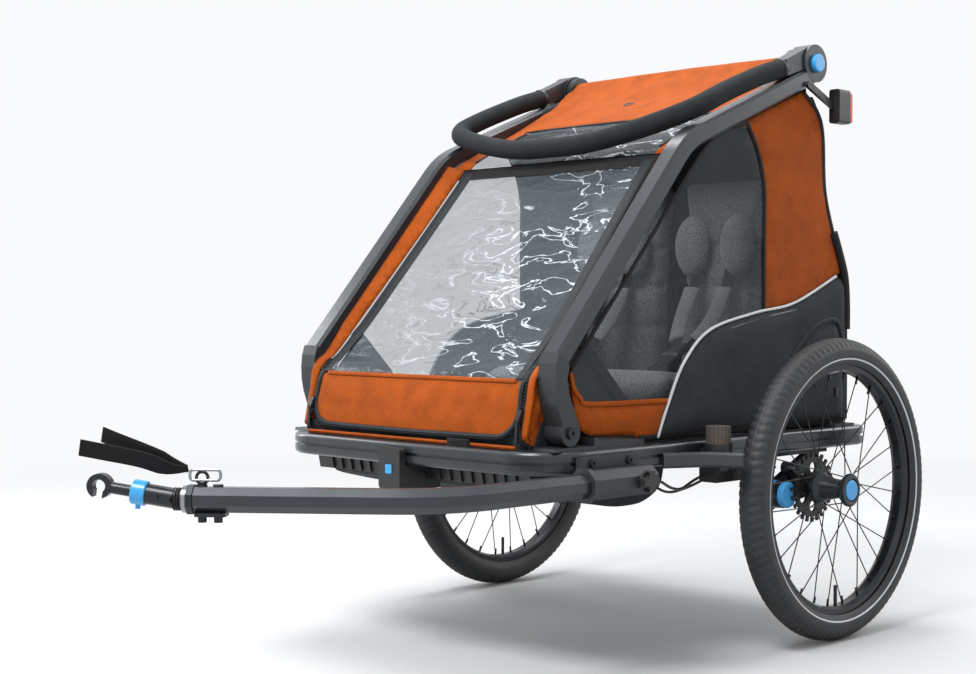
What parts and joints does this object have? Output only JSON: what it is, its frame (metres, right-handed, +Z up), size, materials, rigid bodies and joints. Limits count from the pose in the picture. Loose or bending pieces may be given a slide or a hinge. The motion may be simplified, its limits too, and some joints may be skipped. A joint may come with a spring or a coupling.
{
  "type": "child bicycle trailer",
  "caption": "Two-seat child bicycle trailer with folding frame, sprung wheels, drawbar with hitch claw, push bar, parking brake and fabric canopy with clear windows.",
  "frame": {"origin": "on the ground midway between the wheels, under the axle", "axes": "+Z up, the trailer faces -Y, its left side is +X"},
  "size_m": [0.854, 1.4262, 1.016],
  "materials": {
    "anthracite_tube": "satin",
    "black_casting": "satin",
    "black_plastic": "matte",
    "steel": "brushed",
    "black_steel": "satin",
    "blue_plastic": "satin",
    "blue_elastomer": "matte",
    "black_rubber": "matte",
    "tyre_rubber": "matte",
    "pedal_rubber": "ribbed",
    "foam": "matte foam",
    "orange_fabric": "woven",
    "charcoal_fabric": "woven",
    "seat_fabric": "melange",
    "webbing": "webbing",
    "clear_foil": "gloss",
    "tinted_foil": "gloss",
    "red_lens": "gloss",
    "cable_black": "satin"
  },
  "bodies": {
    "frame": {"base_ring": "anthracite_tube", "floor_tub": "black_plastic", "footwell": "charcoal_fabric", "front_socket": "black_plastic", "frame_brackets": "black_casting", "suspension_hangers": "black_steel", "elastomer_barrels": "blue_elastomer", "wheel_guards": "anthracite_tube", "drawbar_socket": "black_casting", "frame_bolts": "black_steel", "cables_and_leash": "cable_black", "brake_base": "black_plastic", "side_panels": "charcoal_fabric", "side_windows": "tinted_foil", "rear_cover": "charcoal_fabric", "seat_cushions": "seat_fabric", "seat_backs": "seat_fabric", "harnesses": "webbing"},
    "upper_frame": {"side_tubes": "anthracite_tube", "tube_feet": "black_casting", "rear_hub_frame": "black_casting", "tail_light": "black_plastic", "tail_light_lens": "red_lens", "front_cover": "orange_fabric", "front_window": "clear_foil", "roof": "orange_fabric"},
    "lower_struts": {"lower_struts": "black_steel"},
    "upper_struts": {"upper_struts": "black_steel"},
    "push_bar": {"push_bar_foam": "foam", "push_bar_frame": "black_casting"},
    "push_bar_button_left": {"push_bar_button_left": "blue_plastic"},
    "push_bar_button_right": {"push_bar_button_right": "blue_plastic"},
    "front_socket_button": {"front_socket_button": "blue_plastic"},
    "brake_pedal": {"brake_pedal": "pedal_rubber"},
    "drawbar": {"drawbar_tube": "anthracite_tube", "tongue_bracket": "black_steel", "coupling_flex": "black_rubber", "safety_strap": "webbing", "carabiner": "steel"},
    "locking_knob": {"locking_knob": "black_plastic"},
    "coupling": {"coupling_claw": "black_steel"},
    "lock_ring": {"lock_ring": "blue_plastic"},
    "swing_arm_left": {"swing_arm_left": "black_steel"},
    "brake_pin_left": {"brake_pin_left": "steel"},
    "wheel_left": {"tyre_left": "tyre_rubber", "rim_left": "black_steel", "spokes_left": "black_steel", "hub_left": "black_casting", "brake_disc_left": "black_plastic"},
    "hub_cap_left": {"hub_cap_left": "blue_plastic"},
    "zip_slider_left": {"zip_slider_left": "black_steel"},
    "swing_arm_right": {"swing_arm_right": "black_steel"},
    "brake_pin_right": {"brake_pin_right": "steel"},
    "wheel_right": {"tyre_right": "tyre_rubber", "rim_right": "black_steel", "spokes_right": "black_steel", "hub_right": "black_casting", "brake_disc_right": "black_plastic"},
    "hub_cap_right": {"hub_cap_right": "blue_plastic"},
    "zip_slider_right": {"zip_slider_right": "black_steel"}
  },
  "joints": [
    {"name": "fold", "type": "hinge", "parent": "frame", "child": "upper_frame", "pos_m": [0, -0.555, 0.372], "axis": [-1, 0, 0], "range_deg": [0, 40], "deforming": ["side_panels", "side_windows", "rear_cover", "seat_backs", "harnesses"]},
    {"name": "lower_strut_fold", "type": "hinge", "parent": "frame", "child": "lower_struts", "pos_m": [0, 0.15, 0.362], "axis": [1, 0, 0], "range_deg": [0, 55]},
    {"name": "upper_strut_fold", "type": "hinge", "parent": "upper_frame", "child": "upper_struts", "pos_m": [0, 0.08, 0.949], "axis": [-1, 0, 0], "range_deg": [0, 67.5]},
    {"name": "push_bar_swing", "type": "hinge", "parent": "upper_frame", "child": "push_bar", "pos_m": [0, 0.078, 0.983], "axis": [-1, 0, 0], "range_deg": [0, 195]},
    {"name": "push_bar_button_left_press", "type": "slide", "parent": "push_bar", "child": "push_bar_button_left", "axis": [-1, 0, 0], "range_m": [0, 0.004], "stiffness_N_per_m": 900},
    {"name": "swing_left", "type": "hinge", "parent": "frame", "child": "swing_arm_left", "pos_m": [0.326, -0.06, 0.243], "axis": [1, 0, 0], "range_deg": [-8, 8], "stiffness_Nm_per_rad": 150, "springref_deg": -2.01},
    {"name": "wheel_spin_left", "type": "hinge", "parent": "swing_arm_left", "child": "wheel_left", "pos_m": [0.394, 0, 0.253], "axis": [1, 0, 0], "continuous": true},
    {"name": "hub_cap_left_press", "type": "slide", "parent": "wheel_left", "child": "hub_cap_left", "axis": [-1, 0, 0], "range_m": [0, 0.003], "stiffness_N_per_m": 800},
    {"name": "brake_pin_left_travel", "type": "slide", "parent": "swing_arm_left", "child": "brake_pin_left", "axis": [1, 0, 0], "range_m": [0, 0.008]},
    {"name": "zip_left_travel", "type": "slide", "parent": "upper_frame", "child": "zip_slider_left", "axis": [-0.0404, 0.6309, 0.7748], "range_m": [0, 0.48]},
    {"name": "push_bar_button_right_press", "type": "slide", "parent": "push_bar", "child": "push_bar_button_right", "axis": [1, 0, 0], "range_m": [0, 0.004], "stiffness_N_per_m": 900},
    {"name": "swing_right", "type": "hinge", "parent": "frame", "child": "swing_arm_right", "pos_m": [-0.326, -0.06, 0.243], "axis": [1, 0, 0], "range_deg": [-8, 8], "stiffness_Nm_per_rad": 150, "springref_deg": -2.01},
    {"name": "wheel_spin_right", "type": "hinge", "parent": "swing_arm_right", "child": "wheel_right", "pos_m": [-0.394, 0, 0.253], "axis": [1, 0, 0], "continuous": true},
    {"name": "hub_cap_right_press", "type": "slide", "parent": "wheel_right", "child": "hub_cap_right", "axis": [1, 0, 0], "range_m": [0, 0.003], "stiffness_N_per_m": 800},
    {"name": "brake_pin_right_travel", "type": "slide", "parent": "swing_arm_right", "child": "brake_pin_right", "axis": [-1, 0, 0], "range_m": [0, 0.008]},
    {"name": "zip_right_travel", "type": "slide", "parent": "upper_frame", "child": "zip_slider_right", "axis": [0.0404, 0.6309, 0.7748], "range_m": [0, 0.48]},
    {"name": "brake_pedal_press", "type": "slide", "parent": "frame", "child": "brake_pedal", "axis": [0, 0, -1], "range_m": [0, 0.012], "stiffness_N_per_m": 700},
    {"name": "front_button_press", "type": "slide", "parent": "frame", "child": "front_socket_button", "axis": [0, 1, 0], "range_m": [0, 0.003], "stiffness_N_per_m": 600},
    {"name": "drawbar_pull_out", "type": "slide", "parent": "frame", "child": "drawbar", "axis": [0, -1, 0], "range_m": [0, 0.13]},
    {"name": "locking_knob_pull", "type": "slide", "parent": "frame", "child": "locking_knob", "axis": [1, 0, 0], "range_m": [0, 0.008], "stiffness_N_per_m": 900},
    {"name": "coupling_flex_bend", "type": "hinge", "parent": "drawbar", "child": "coupling", "pos_m": [0.06834, -1.08643, 0.3], "axis": [0.6429, -0.7659, 0], "range_deg": [-10, 22], "stiffness_Nm_per_rad": 80},
    {"name": "lock_ring_turn", "type": "hinge", "parent": "coupling", "child": "lock_ring", "pos_m": [0.03052, -1.11818, 0.30782], "axis": [-0.7565, -0.635, 0.1564], "range_deg": [0, 70], "stiffness_Nm_per_rad": 0.3}
  ],
  "couplings": [
    {"joint": "lower_strut_fold", "follows": "fold", "ratio": 1.37},
    {"joint": "upper_strut_fold", "follows": "fold", "ratio": 1.68},
    {"joint": "brake_pin_left_travel", "follows": "brake_pedal_press", "ratio": 0.6666},
    {"joint": "brake_pin_right_travel", "follows": "brake_pedal_press", "ratio": 0.6666}
  ]
}
